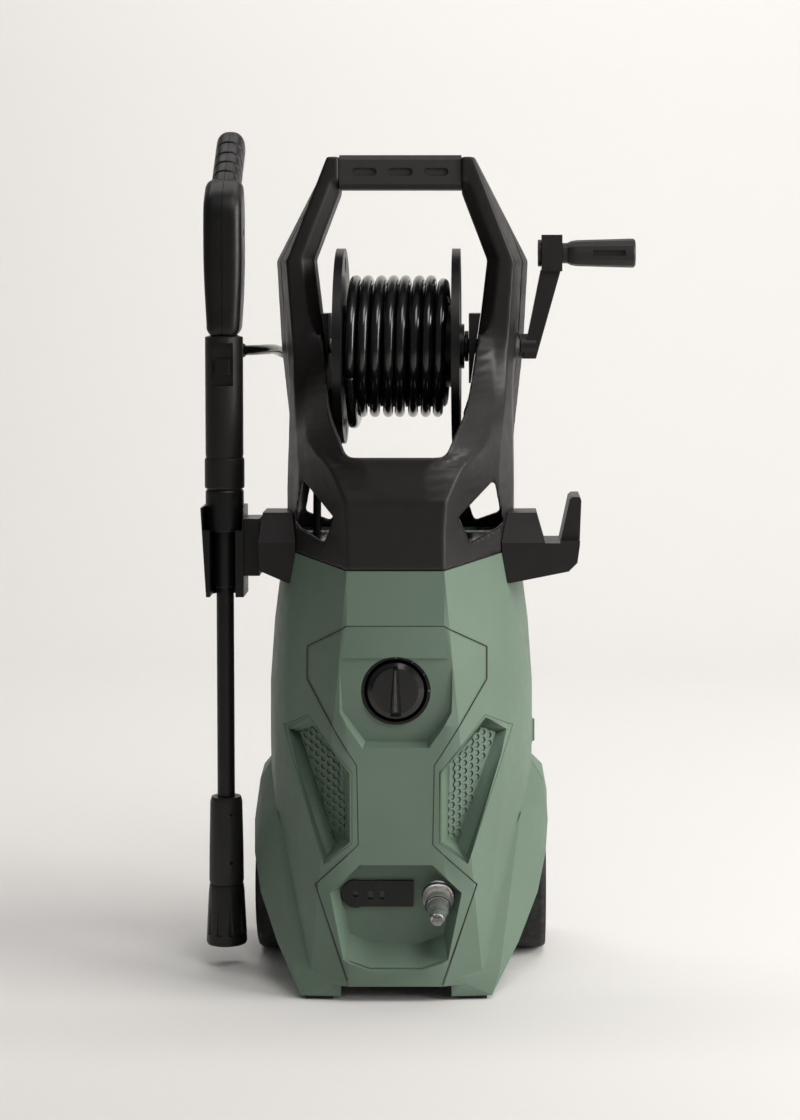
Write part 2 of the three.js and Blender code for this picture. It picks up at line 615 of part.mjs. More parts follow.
function crankGrip() {
  const [y, z] = [REEL_AXIS[0], CRANK_HANDLE_Z];
  const grip = ring([[6.4, 173], [11, 173], [11, 178], [13, 182], [14, 188], [15.6, 244], [15.6, 249],
    [14, 251], [9, 251], [9, 242], [6.4, 242]], 'x', [0, y, z], 12);
  const recess = box(205, 240, y - 20, y - 12.6, z - 3, z + 3);
  return cut(grip, recess);
}

// ---- hose ---------------------------------------------------------------------------------
function hoseWinding() {
  const [low, high] = WINDING_X;
  const [inner, outer] = WINDING_RADII;
  return ring([[inner, low], [inner, high], [outer, high], [outer, low]], 'x', [0, ...REEL_AXIS]);
}

// Leaves the winding low at its left end, rounds the flange's rim at the rear, passes behind the
// left upright and comes forward to the fitting on the lance.
const HOSE_PATH = [[-51, 6, 579.8], [-51, 40, 573.6], [-51, 76, 575], [-51.5, 103, 579], [-56, 124.5, 585.5],
  [-67, 142, 596], [-83.5, 152.5, 609], [-102.5, 154.5, 623.5], [-119.5, 148.5, 636], [-132, 136, 644.5],
  [-139.5, 118.5, 649.5], [-143.6, 98, 651.5], [-149.5, 76, 652], [-158.8, 57.1, 652],
  [-171.37, 42.66, 652]];

function hoseFreeRun() {
  return tube(HOSE_PATH, HOSE_DIAMETER / 2, 24, 10, true);
}

// ---- gun and lance, drawn around their own axis and moved into place -----------------------
function onLance(shape) {
  const [x, y] = LANCE_AXIS;
  return shape.translate([x, y, 0]);
}

// Side view of the gun as [back, z] corners.
const GUN_BODY = [[-14, 678], [-18, 700], [-21, 735], [-21, 792], [-15, 810], [-2, 825], [74, 884], [86, 890],
  [98, 886], [103, 868], [94, 855], [42, 812], [36, 795], [36, 720], [30, 690], [20, 678]];
const GUARD = [[86, 862], [94, 855], [110, 866], [122, 842], [126, 800], [116, 758], [88, 712], [48, 684],
  [30, 684], [34, 700], [48, 700], [80, 722], [105, 764], [115, 802], [111, 836]];

function gunHalf(side) {
  const half = (width) => (side > 0 ? [0.15, width] : [-width, -0.15]);
  const body = prismX(GUN_BODY, ...half(19.5));
  const handle = prismX([[8, 832], [70, 900], [140, 900], [150, 830], [42, 804]], ...half(30));
  const slim = cut(handle, prismX([[-50, 600], [200, 600], [200, 940], [-50, 940]], ...half(16.5)));
  const guard = prismX(GUARD, ...half(8));
  const socket = rod(14.4, 'z', 670, 700, [0, 0]);
  const cavity = box(-9.3, 9.3, -8.3, 20.3, 699, 760);
  const slot = box(-5.6, 5.6, 18, 60, 735, 811);
  const lockBore = rod(LOCK_RADIUS + GAP, 'x', -30, 30, LOCK_AXIS, 16);
  return onLance(cut(union(body, guard), gunFrontBevel(side), slim, socket, cavity, slot, lockBore));
}

// Wedge that bevels the front edge of the gun body on one side.
function gunFrontBevel(side) {
  const corners = [[8.5, -22], [20.5, -11], [20.5, -40], [8.5, -40]];
  return hull(corners.flatMap(([x, y]) => [[side * x, y, 640], [side * x, y, 920]]));
}

// Safety bolt that is pushed across the gun body, above the valve.
const LOCK_AXIS = [8, 778];              // back, z
const LOCK_RADIUS = 3.5;

function gunValve() {
  return onLance(union(box(-9, 9, -8, 20, 700, 759)));
}

function trigger() {
  const outline = [[24, 770], [24, 799], [34, 801], [60, 807], [92, 827], [97, 818], [76, 791], [52, 768],
    [40, 760]];
  return onLance(prismX(outline, -5.2, 5.2));
}

function triggerLock() {
  return onLance(rod(LOCK_RADIUS, 'x', -19.3, 19.3, LOCK_AXIS, 16));
}

function hoseFitting() {
  const stem = rod(7, 'y', 20.5, 45, [0, 652], 20);
  const elbow = tube([[0, 40, 652], [4, 52, 652], [13.2, 62.4, 652]], 8, 2, 12);
  return onLance(union(stem, elbow));
}

function lanceAdapter() {
  const profile = [[0, 541], [19.4, 541], [20, 545], [20, 668], [14, 670], [14, 698], [0, 698]];
  const barrel = turned(profile, 'z', ORIGIN);
  const window = box(-11, 11, -26, -13.5, 617, 662);
  const rearStrip = box(-4.5, 4.5, 17, 23, 560, 664);
  const fittingSeat = rod(7.6, 'y', 20, 40, [0, 652], 20);
  return onLance(cut(union(cut(barrel, window), rearStrip), fittingSeat));
}

function lanceSlider() {
  return onLance(box(-7.6, 7.6, -20.5, -13.9, 629, 645));
}

function lockingCollar() {
  const profile = [[0, 508.6], [20.4, 508.6], [21, 511], [21, 538], [20.4, 540.6], [0, 540.6]];
  return onLance(turned(profile, 'z', ORIGIN));
}

function lowerAdapter() {
  const shoulder = HOLDER_SEAT_Z + GAP;
  const profile = [[0, 404], [12.6, 404], [12.9, 408], [12.9, shoulder], [19.6, shoulder], [20.2, 465],
    [20.2, 505], [19, 507.4], [0, 507.4]];
  return onLance(cut(turned(profile, 'z', ORIGIN), rod(9.6, 'z', 390, 440, [0, 0])));
}

function lanceTube() {
  return onLance(rod(9.25, 'z', 140, 439, [0, 0], 28));
}

function nozzleBody() {
  const profile = [[0, 88], [17.4, 88], [18.4, 92], [18, 130], [17, 176], [15.5, 181], [0, 181]];
  const body = turned(profile, 'z', ORIGIN);
  const bore = rod(9.6, 'z', 139.6, 200, [0, 0], 28);
  const hole = (z) => rod(1.9, 'y', -30, -12, [7, z], 10);
  return onLance(cut(body, bore, hole(164), hole(113)));
}

function nozzleHead() {
  const flutes = [];
  const count = 10;
  for (let i = 0; i < count; i += 1) {
    const angle = (2 * Math.PI * i) / count;
    const flute = new THREE.CylinderGeometry(2.6, 3.4, 42, 8);
    flute.rotateX(Math.PI / 2).translate(22.4 * Math.cos(angle), 22.4 * Math.sin(angle), 56);
    flutes.push(solid(flute));
  }
  const profile = [[0, 24], [20.5, 24], [21.6, 27], [20.6, 48], [19, 80], [18, 87.4], [0, 87.4]];
  const body = turned(profile, 'z', ORIGIN);
  return onLance(cut(body, rod(8, 'z', 0, 60, [0, 0]), ...flutes));
}

// ---- running gear -------------------------------------------------------------------------
const sideways = (side, profile) => profile.map(([r, x]) => [r, side * x]);

function tyre(side) {
  const profile = [[64, 120], [76, 118.5], [WHEEL_RADIUS, 122], [WHEEL_RADIUS, 150], [77, 155], [64, 154]];
  return ring(sideways(side, profile), 'x', [0, ...WHEEL_AXIS], 40);
}

function rim(side) {
  const profile = [[6.4, 118], [20, 118], [20, 132], [56, 132], [56, 121], [63.6, 121], [63.6, 153],
    [59, 153], [56, 138], [24, 138], [22, 152], [15, 152], [15, 147], [6.4, 147]];
  return ring(sideways(side, profile), 'x', [0, ...WHEEL_AXIS], 32);
}

function wheelCap(side) {
  const profile = [[0, 149], [14.6, 149], [14.6, 153], [12, 156], [0, 156.5]];
  return turned(sideways(side, profile), 'x', [0, ...WHEEL_AXIS], 24);
}

function axle() {
  return rod(6, 'x', -148, 148, WHEEL_AXIS, 24);
}

function footPad(side) {
  const [a, b] = side > 0 ? [64, 92] : [-92, -64];
  return box(a, b, -146, -112, 0, 3.9);
}

// ---- controls and fittings ----------------------------------------------------------------
function dialKnob() {
  const at = [0, 0, DIAL_Z];
  const body = turned([[0, -150], [23, -150], [28.5, -147], [30.5, -141], [30.5, -136], [5, -136], [5, -128],
    [0, -128]], 'y', at, 40);
  const pointer = hull([[-5.5, -152, -18], [5.5, -152, -18], [-4, -158, -20], [4, -158, -20],
    [-2.2, -152, 24], [2.2, -152, 24], [-1.2, -157, 22], [1.2, -157, 22], [-5.5, -149, -26], [5.5, -149, -26],
    [-2.2, -149, 25], [2.2, -149, 25]].map(([x, y, z]) => [x, y, z + DIAL_Z]));
  return union(body, pointer);
}

// Switch behind the panel together with the dished ring around the dial.
function rotarySwitch() {
  const bezel = ring([[5.4, -132], [34.6, -132], [34.6, -147], [32, -147], [31, -135.2], [5.4, -135.2]],
    'y', [0, 0, DIAL_Z], 40);
  const body = box(-26, 26, -133, -98, DIAL_Z - 26, DIAL_Z + 26);
  return cut(union(body, bezel), rod(5.4, 'y', -150, -126, [0, DIAL_Z]));
}

function pocketPlate() {
  const bar = box(-41.5, 17, -131.5, POCKET_BACK_Y - GAP, 90.5, 117);
  const eye = rod(14.3, 'y', -131.5, POCKET_BACK_Y - GAP, [-42, 103.5], 32);
  const hole = rod(2.9, 'y', -140, -120, [-42, 103.5], 14);
  const slot = (x) => box(x - 2.5, x + 2.5, -140, -120, 98.5, 106.5);
  return cut(union(bar, eye), hole, slot(-26.5), slot(-15));
}

function inletStub() {
  const [x, z] = INLET_AXIS;
  return union(rod(8.6, 'y', -129.5, -84.4, [x, z]), rod(12, 'y', -124.6, -112, [x, z]));
}

// Stepped hose adapter on a short straight foot, tilted towards the floor.
const ADAPTER_TILT = 25;                 // degrees
const ADAPTER_FOOT_Y = -136.9;

function inletAdapter() {
  const [x, z] = INLET_AXIS;
  const profile = [[0, 0], [15.8, 0], [15.8, -9.5], [13.4, -11], [13.4, -17], [11, -18.5], [11, -26],
    [9, -27.5], [9, -31], [7.4, -32.5], [7.4, -38.6], [6.2, -40.8], [0, -40.8]];
  const straight = turned(profile, 'y', ORIGIN, 24);
  const body = straight.rotate([ADAPTER_TILT, 0, 0]).translate([x, ADAPTER_FOOT_Y, z]);
  return union(body, rod(13, 'y', ADAPTER_FOOT_Y - 3, -129.9, INLET_AXIS));
}

function fillerCap() {
  const [y, z] = FILLER_AXIS;
  const at = [0, y, z];
  const disc = turned([[0, 130], [16.4, 130], [16.4, 139], [14.5, 141], [0, 141]], 'x', at, 28);
  return union(disc, box(140, 143.4, y - 2.2, y + 2.2, z - 12, z + 12));
}

function detergentTank() {
  const [y, z] = FILLER_AXIS;
  const outside = union(box(-84, 96, 62, 98, 205, 372), box(88, 122, 34, 90, z - 18, z + 18),
    rod(11, 'x', 118, 129.6, [y, z]));
  const inside = union(box(-81, 93, 65, 95, 208, 369), box(80, 119, 37, 87, z - 15, z + 15),
    rod(8.5, 'x', 110, 140, [y, z]));
  return cut(outside, inside);
}

// Motor, fan and pump stand on one upright axis inside the body.
const MOTOR_AT = [0, -30, 0];

function motor() {
  return turned([[0, 130], [50, 130], [56, 138], [56, 236], [50, 244], [0, 244]], 'z', MOTOR_AT, 28);
}

function fanCowl() {
  const profile = [[24, 244.6], [60, 244.6], [62, 250], [62, 286], [56, 294], [24, 294]];
  return ring(profile, 'z', MOTOR_AT, 28);
}

function pump() {
  const profile = [[0, 48], [44, 48], [48, 56], [48, 118], [40, 129.4], [0, 129.4]];
  const body = turned(profile, 'z', MOTOR_AT, 28);
  const manifold = box(-54, 60, -84, -50, 84, 122);
  return union(body, manifold);
}

function capacitor() {
  return rod(21, 'z', 268, 350, [86, 26], 24);
}

function deckPlate() {
  const plate = collarBlock(7, -6).intersect(box(-130, 130, -150, 120, 452, 455));
  return cut(plate, rod(PIPE_RADIUS + 1, 'z', 440, 470, [-92, 40]));
}

function cableGland() {
  const profile = [[0, 104], [8.6, 104], [8.6, 112], [12, 113], [12, 118], [7, 128], [0, 128]];
  return turned(profile, 'y', [GLAND_AXIS[0], 0, GLAND_AXIS[1]], 20);
}

// ---- assembly -----------------------------------------------------------------------------
const shell = shellBlank();
const frame = frameBlank();
const frontSide = box(-200, 200, -300, FRAME_SPLIT_Y, 380, 900);
const rearSide = box(-200, 200, FRAME_SPLIT_Y + GAP, 300, 380, 900);

const washer = new THREE.Group();
washer.name = 'pressure_washer';
washer.add(
  piece('base_tray', baseTray(), BLACK),
  piece('front_shell', frontShell(shell), GREEN),
  piece('rear_shell', rearShell(shell), GREEN),
  piece('front_panel', frontPanel(), GREEN),
  piece('left_vent_insert', ventInsert(-1), GREEN),
  piece('right_vent_insert', ventInsert(1), GREEN),
  piece('frame_front', frame.intersect(frontSide), CHARCOAL),
  piece('frame_rear', frame.intersect(rearSide), CHARCOAL),
  piece('top_grip', topGrip(), RUBBER),
  piece('left_arm', leftArm(), CHARCOAL),
  piece('lance_holder', lanceHolder(), BLACK),
  piece('cable_hook', cableHook(), CHARCOAL),
  piece('left_bearing', bearingBracket(-1), CHARCOAL),
  piece('right_bearing', bearingBracket(1), CHARCOAL),
  piece('left_flange', flange(-1), BLACK),
  piece('right_flange', flange(1), BLACK),
  piece('drum_core', drumCore(), BLACK),
  piece('reel_shaft', reelShaft(), BLACK),
  piece('reel_spigot', reelSpigot(), BRASS),
  piece('crank_arm', crankArm(), CHARCOAL),
  piece('crank_spindle', crankSpindle(), BLACK),
  piece('crank_grip', crankGrip(), CHARCOAL),
  piece('hose_winding', hoseWinding(), GLOSS_BLACK),
  piece('hose_free_run', hoseFreeRun(), GLOSS_BLACK),
  piece('supply_pipe', supplyPipe(), BLACK),
  piece('gun_shell_left', gunHalf(-1), CHARCOAL),
  piece('gun_shell_right', gunHalf(1), CHARCOAL),
  piece('gun_valve', gunValve(), BRASS),
  piece('trigger', trigger(), BLACK),
  piece('trigger_lock', triggerLock(), BLACK),
  piece('hose_fitting', hoseFitting(), BLACK),
  piece('lance_adapter', lanceAdapter(), CHARCOAL),
  piece('lance_slider', lanceSlider(), BLACK),
  piece('locking_collar', lockingCollar(), CHARCOAL),
  piece('lower_adapter', lowerAdapter(), BLACK),
  piece('lance_tube', lanceTube(), BLACK),
  piece('nozzle_body', nozzleBody(), CHARCOAL),
  piece('nozzle_head', nozzleHead(), BLACK),
  piece('left_tyre', tyre(-1), RUBBER),
  piece('right_tyre', tyre(1), RUBBER),
  piece('left_rim', rim(-1), BLACK),
  piece('right_rim', rim(1), BLACK),
  piece('left_wheel_cap', wheelCap(-1), CHARCOAL),
  piece('right_wheel_cap', wheelCap(1), CHARCOAL),
  piece('axle', axle(), STEEL),
  piece('left_foot_pad', footPad(-1), RUBBER),
  piece('right_foot_pad', footPad(1), RUBBER),
  piece('dial_knob', dialKnob(), GLOSS_BLACK),
  piece('rotary_switch', rotarySwitch(), BLACK),
  piece('pocket_plate', pocketPlate(), BLACK),
  piece('inlet_stub', inletStub(), BRASS),
  piece('inlet_adapter', inletAdapter(), CLEAR),
  piece('filler_cap', fillerCap(), GREEN),
  piece('detergent_tank', detergentTank(), TANK_WHITE),
  piece('motor', motor(), ALUMINIUM),
  piece('fan_cowl', fanCowl(), BLACK),
  piece('pump', pump(), ALUMINIUM),
  piece('capacitor', capacitor(), TANK_WHITE),
  piece('deck_plate', deckPlate(), GLOSS_BLACK),
  piece('cable_gland', cableGland(), BLACK),
);

const assembly = new THREE.Group();
washer.position.set(...MACHINE_SHIFT);
assembly.add(washer);
export default assembly;
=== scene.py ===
import json
import math

import bmesh
import bpy
from mathutils import Matrix, Vector


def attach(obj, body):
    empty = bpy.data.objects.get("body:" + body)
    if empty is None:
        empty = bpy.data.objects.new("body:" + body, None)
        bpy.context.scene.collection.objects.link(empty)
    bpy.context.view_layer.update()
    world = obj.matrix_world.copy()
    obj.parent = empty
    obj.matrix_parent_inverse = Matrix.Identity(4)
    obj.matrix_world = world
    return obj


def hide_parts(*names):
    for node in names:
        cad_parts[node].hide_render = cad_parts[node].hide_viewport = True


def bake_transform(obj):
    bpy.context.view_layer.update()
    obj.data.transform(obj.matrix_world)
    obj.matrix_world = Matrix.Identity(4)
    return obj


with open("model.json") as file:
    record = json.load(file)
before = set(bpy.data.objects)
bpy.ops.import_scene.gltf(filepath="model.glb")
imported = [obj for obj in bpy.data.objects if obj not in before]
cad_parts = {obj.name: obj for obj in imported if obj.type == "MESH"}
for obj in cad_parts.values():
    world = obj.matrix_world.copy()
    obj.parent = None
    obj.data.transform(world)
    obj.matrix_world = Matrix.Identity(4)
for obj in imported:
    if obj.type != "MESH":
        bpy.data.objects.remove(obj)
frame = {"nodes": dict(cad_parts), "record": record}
bpy.context.view_layer.update()
nodes = frame["nodes"]

# The machine's symmetry plane and the part's own frame, in metres, as in the CAD source.
SHIFT = Vector((-0.0216, 0.01575, 0.0))
REEL_AXIS = SHIFT + Vector((0.0, 0.040, 0.6565))
LANCE_AXIS = SHIFT + Vector((-0.1848, -0.020, 0.0))
DIAL_Z = 314.5                             # height of the dial's axis, in mm
HOSE_DIAMETER = 0.011
DRUM_RADIUS = 0.04435


def machine(x, y, z):
    """A point given in millimetres from the symmetry plane, in the row frame."""
    return SHIFT + Vector((x, y, z)) / 1000


# ---- camera and light ---------------------------------------------------------------------
CAMERA_AT = (0.0714, -2.63425, 0.734)
CAMERA_PITCH = 2.70                        # degrees below the horizon


def add_camera():
    data = bpy.data.cameras.new("camera")
    data.lens = 80.36
    data.sensor_width = 36
    data.shift_x = -0.0786
    data.shift_y = -0.15
    camera = bpy.data.objects.new("camera", data)
    camera.location = CAMERA_AT
    camera.rotation_euler = (math.radians(90 - CAMERA_PITCH), 0, 0)
    bpy.context.scene.collection.objects.link(camera)
    bpy.context.scene.camera = camera


def add_area(name, at, aim, size, power, colour):
    data = bpy.data.lights.new(name, "AREA")
    data.shape = "RECTANGLE"
    data.size, data.size_y = size
    data.energy = power
    data.color = colour
    light = bpy.data.objects.new(name, data)
    light.location = at
    light.rotation_euler = (Vector(aim) - Vector(at)).to_track_quat("-Z", "Y").to_euler()
    bpy.context.scene.collection.objects.link(light)


def add_studio():
    """One large soft box on the right, a weaker one overhead and a wash on the wall."""
    warm, neutral = (1.0, 0.975, 0.95), (1.0, 0.985, 0.97)
    add_area("key", (2.9, -0.95, 1.5), (0, 0, 0.5), (1.8, 2.4), 112, warm)
    add_area("top", (0.7, -1.5, 2.8), (0, 0, 0.3), (1.4, 1.2), 26, neutral)
    add_area("wall", (0.0, 0.9, 3.4), (0, 3.2, 0.9), (4.0, 0.8), 70, neutral)
    world = bpy.data.worlds.new("studio")
    world.use_nodes = True
    background = world.node_tree.nodes["Background"]
    background.inputs["Color"].default_value = (1.0, 0.985, 0.965, 1)
    background.inputs["Strength"].default_value = 0.13
    bpy.context.scene.world = world
    bpy.context.scene.view_settings.view_transform = "Standard"


def add_backdrop():
    """Pale floor that curves up into a wall far behind the machine."""
    front_y, wall_y, radius, width, height = -4.5, 3.2, 1.2, 9.0, 5.0
    curve_steps = 16
    profile = [(front_y, 0.0), (wall_y - radius, 0.0)]
    for step in range(1, curve_steps + 1):
        angle = math.radians(90 * step / curve_steps)
        profile.append((wall_y - radius + radius * math.sin(angle), radius * (1 - math.cos(angle))))
    profile.append((wall_y, height))
    verts = [(x, y, z) for y, z in profile for x in (-width / 2, width / 2)]
    faces = [(2 * i, 2 * i + 1, 2 * i + 3, 2 * i + 2) for i in range(len(profile) - 1)]
    floor = mesh_object("backdrop", verts, faces, smooth=True)
    pale = (0.825, 0.812, 0.797)
    floor.data.materials.append(paint("backdrop_paint", pale, 0.9, grain=0.0, mottle=0.0))


# ---- meshes -------------------------------------------------------------------------------
def mesh_object(name, verts, faces, smooth=False):
    mesh = bpy.data.meshes.new(name)
    mesh.from_pydata([tuple(v) for v in verts], [], faces)
    mesh.update()
    if smooth:
        mesh.shade_smooth()
    obj = bpy.data.objects.new(name, mesh)
    bpy.context.scene.collection.objects.link(obj)
    return obj


def outward(obj):
    """Makes all faces of a closed mesh point out."""
    bm = bmesh.new()
    bm.from_mesh(obj.data)
    bmesh.ops.recalc_face_normals(bm, faces=bm.faces)
    bm.to_mesh(obj.data)
    bm.free()
    return obj


def add_piece(obj, body, material):
    """Gives a new piece its material and its body."""
    obj.data.materials.clear()
    obj.data.materials.append(material)
    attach(obj, body)


def sweep_tube(name, points, radius, sides=16):
    """Closed tube mesh along a smooth list of points."""
    rings, verts, faces = len(points), [], []
    normal = Vector((1, 0, 0))
    for i, point in enumerate(points):
        ahead = points[min(i + 1, rings - 1)] - points[max(i - 1, 0)]
        tangent = ahead.normalized()
        normal = (normal - tangent * normal.dot(tangent)).normalized()
        side = tangent.cross(normal)
        for k in range(sides):
            angle = 2 * math.pi * k / sides
            verts.append(point + radius * (math.cos(angle) * normal + math.sin(angle) * side))
    for i in range(rings - 1):
        for k in range(sides):
            a, b = i * sides + k, i * sides + (k + 1) % sides
            faces.append((a, b, b + sides, a + sides))
    faces.append(tuple(reversed(range(sides))))
    faces.append(tuple(range((rings - 1) * sides, rings * sides)))
    return outward(mesh_object(name, verts, faces, smooth=True))


def spline_point(p0, p1, p2, p3, t):
    """Point on the smooth line between p1 and p2."""
    return 0.5 * (2 * p1 + (p2 - p0) * t + (2 * p0 - 5 * p1 + 4 * p2 - p3) * t * t
                  + (3 * p1 - p0 - 3 * p2 + p3) * t ** 3)


def open_curve(points, steps):
    """Smooth line through given points."""
    padded = [2 * points[0] - points[1], *points, 2 * points[-1] - points[-2]]
    line = []
    for i in range(1, len(padded) - 2):
        line += [spline_point(*padded[i - 1:i + 3], k / steps) for k in range(steps)]
    return [*line, points[-1]]


def closed_curve(outline, steps):
    """Smooth closed line through an outline's corners."""
    points = [Vector(p) for p in outline]
    count = len(points)
    line = []
    for i in range(count):
        around = [points[(i + k - 1) % count] for k in range(4)]
        line += [spline_point(*around, k / steps) for k in range(steps)]
    return line


# ---- materials ----------------------------------------------------------------------------
class Nodes:
    """Short names for the shader nodes that the materials share."""

    def __init__(self, name):
        self.material = bpy.data.materials.new(name)
        self.material.use_nodes = True
        self.tree = self.material.node_tree
        self.shader = self.tree.nodes["Principled BSDF"]
        self.where = self.tree.nodes.new("ShaderNodeTexCoord").outputs["Object"]

    def noise(self, scale, detail=3.0, stretch=(1, 1, 1)):
        mapping = self.tree.nodes.new("ShaderNodeMapping")
        mapping.inputs["Scale"].default_value = stretch
        self.tree.links.new(self.where, mapping.inputs["Vector"])
        node = self.tree.nodes.new("ShaderNodeTexNoise")
        node.inputs["Scale"].default_value = scale
        node.inputs["Detail"].default_value = detail
        self.tree.links.new(mapping.outputs["Vector"], node.inputs["Vector"])
        return node.outputs["Fac"]

    def between(self, factor, low, high, start=0.3, end=0.7):
        node = self.tree.nodes.new("ShaderNodeMapRange")
        node.inputs["From Min"].default_value = start
        node.inputs["From Max"].default_value = end
        node.inputs["To Min"].default_value = low
        node.inputs["To Max"].default_value = high
        self.tree.links.new(factor, node.inputs["Value"])
        return node.outputs["Result"]

    def colours(self, factor, first, second):
        node = self.tree.nodes.new("ShaderNodeMix")
        node.data_type = "RGBA"
        node.inputs["A"].default_value = (*first, 1)
        node.inputs["B"].default_value = (*second, 1)
        self.tree.links.new(factor, node.inputs["Factor"])
        return node.outputs["Result"]

    def bump(self, height, strength, distance, under=None):
        node = self.tree.nodes.new("ShaderNodeBump")
        node.inputs["Strength"].default_value = strength
        node.inputs["Distance"].default_value = distance
        self.tree.links.new(height, node.inputs["Height"])
        if under:
            self.tree.links.new(under, node.inputs["Normal"])
        return node.outputs["Normal"]

    def feed(self, socket, output):
        self.tree.links.new(output, self.shader.inputs[socket])

    def fix(self, socket, value):
        self.shader.inputs[socket].default_value = value


def shade(colour, factor):
    return tuple(min(1.0, c * factor) for c in colour)


def paint(name, colour, roughness, grain=0.35, mottle=0.06, grain_scale=1400, specular=0.5):
    """Moulded plastic: fine spark-eroded grain, faint clouding and uneven gloss."""
    n = Nodes(name)
    clouds = n.between(n.noise(9), 0, 1)
    n.feed("Base Color", n.colours(clouds, shade(colour, 1 - mottle), shade(colour, 1 + mottle)))
    n.feed("Roughness", n.between(n.noise(60), roughness - 0.05, roughness + 0.05))
    fine = n.bump(n.noise(grain_scale, 2), grain, 0.00008)
    n.feed("Normal", n.bump(n.noise(22), 0.05, 0.0008, under=fine))
    n.fix("Specular IOR Level", specular)
    return n.material


def hose_pvc():
    """Glossy black hose with long faint draw lines and a little dust."""
    n = Nodes("hose_pvc")
    dust = n.between(n.noise(40, 5), 0, 1, 0.52, 0.8)
    n.feed("Base Color", n.colours(dust, (0.006, 0.006, 0.006), (0.016, 0.015, 0.015)))
    n.feed("Roughness", n.between(n.noise(40), 0.17, 0.25))
    n.feed("Normal", n.bump(n.noise(260, 2), 0.03, 0.0001))
    n.fix("Coat Weight", 0.35)
    n.fix("Coat Roughness", 0.12)
    return n.material


def metal(name, colour, roughness, stretch):
    """Turned or cast metal with fine tool marks."""
    n = Nodes(name)
    marks = n.noise(900, 3, stretch)
    patches = n.between(n.noise(30), 0, 1)
    n.feed("Base Color", n.colours(patches, shade(colour, 0.86), shade(colour, 1.05)))
    n.feed("Roughness", n.between(marks, roughness - 0.08, roughness + 0.1))
    n.feed("Normal", n.bump(marks, 0.15, 0.0001))
    n.fix("Metallic", 1.0)
    return n.material


def clear_plastic():
    """Clear moulded plastic with slight flow waves."""
    n = Nodes("clear_plastic")
    n.fix("Base Color", (0.93, 0.95, 0.95, 1))
    n.fix("Transmission Weight", 0.93)
    n.fix("IOR", 1.46)
    n.feed("Roughness", n.between(n.noise(150), 0.03, 0.12))
    n.feed("Normal", n.bump(n.noise(180, 2), 0.2, 0.0006))
    return n.material


def tyre_rubber():
    """Dull rubber with dust in its pores."""
    n = Nodes("tyre_rubber")
    dust = n.between(n.noise(55, 6), 0, 1, 0.45, 0.75)
    n.feed("Base Color", n.colours(dust, (0.013, 0.013, 0.013), (0.034, 0.032, 0.030)))
    n.feed("Roughness", n.between(n.noise(200), 0.7, 0.92))
    n.feed("Normal", n.bump(n.noise(700, 4), 0.5, 0.0002))
    return n.material


GREEN = (0.121, 0.179, 0.131)
CHARCOAL = (0.0100, 0.0084, 0.0080)
LOOKS = {
    "green_plastic": paint("green_plastic", GREEN, 0.56),
    "charcoal_plastic": paint("charcoal_plastic", CHARCOAL, 0.46, grain=0.5, grain_scale=1100, specular=0.4),
    "black_plastic": paint("black_plastic", (0.0055, 0.0050, 0.0048), 0.4, grain=0.3, specular=0.36),
    "gloss_black": paint("gloss_black", (0.007, 0.007, 0.007), 0.2, grain=0.05),
    "hose_pvc": hose_pvc(),
    "rubber": paint("rubber", (0.017, 0.0165, 0.016), 0.72, grain=0.6, grain_scale=900),
    "tyre_rubber": tyre_rubber(),
    "steel": metal("steel", (0.56, 0.57, 0.58), 0.3, (1, 8, 8)),
    "aluminium": metal("aluminium", (0.50, 0.51, 0.52), 0.48, (1, 1, 1)),
    "brass": metal("brass", (0.50, 0.46, 0.38), 0.34, (8, 1, 8)),
    "clear_plastic": clear_plastic(),
    # Painted highlight: lighter paint for the strip on the dial pointer's ridge.
    "dial_highlight_paint": paint("dial_highlight_paint", (0.06, 0.056, 0.053), 0.3, grain=0.1),
    "mark_paint": paint("mark_paint", (0.22, 0.21, 0.20), 0.5, grain=0.05),
    "tank_plastic": paint("tank_plastic", (0.68, 0.66, 0.58), 0.5, grain=0.2),
}


# ---- carried-over CAD nodes ---------------------------------------------------------------
# Edge radii in mm.
ROUNDING = {"front_shell": 1.1, "rear_shell": 1.1, "front_panel": 0.7,
            "top_grip": 1.6, "left_arm": 1.8, "cable_hook": 2.0, "lance_holder": 0.9, "crank_arm": 1.4,
            "left_tyre": 1.6, "right_tyre": 1.6, "dial_knob": 0.5}
DEFAULT_ROUNDING = 0.6
SOFTENED = ("frame_front", "frame_rear")
SLOTS = {row["node"]: row["material_slot"] for row in frame["record"]["subparts"]}


def finish_cad_node(name, obj):
    """Welds the faceted solid, rounds its edges and gives it its slot's material."""
    mesh = obj.data
    for attribute in ("custom_normal", "sharp_edge", "sharp_face"):
        if attribute in mesh.attributes:
            mesh.attributes.remove(mesh.attributes[attribute])
    mesh.shade_smooth()
    weld = obj.modifiers.new("weld", "WELD")
    weld.merge_threshold = 0.00001
    if name in SOFTENED:
        soften(obj)
    else:
        round_edges(name, obj)
    obj.material_slots[0].material = LOOKS[SLOTS[name]]


def soften(obj):
    """Even fine mesh, relaxed a little: the frame's twisted faces and edges flow together."""
    even = obj.modifiers.new("even", "REMESH")
    even.mode = "VOXEL"
    even.voxel_size = 0.0021
    even.use_smooth_shade = True
    relax = obj.modifiers.new("relax", "SMOOTH")
    relax.factor = 0.5
    relax.iterations = 2


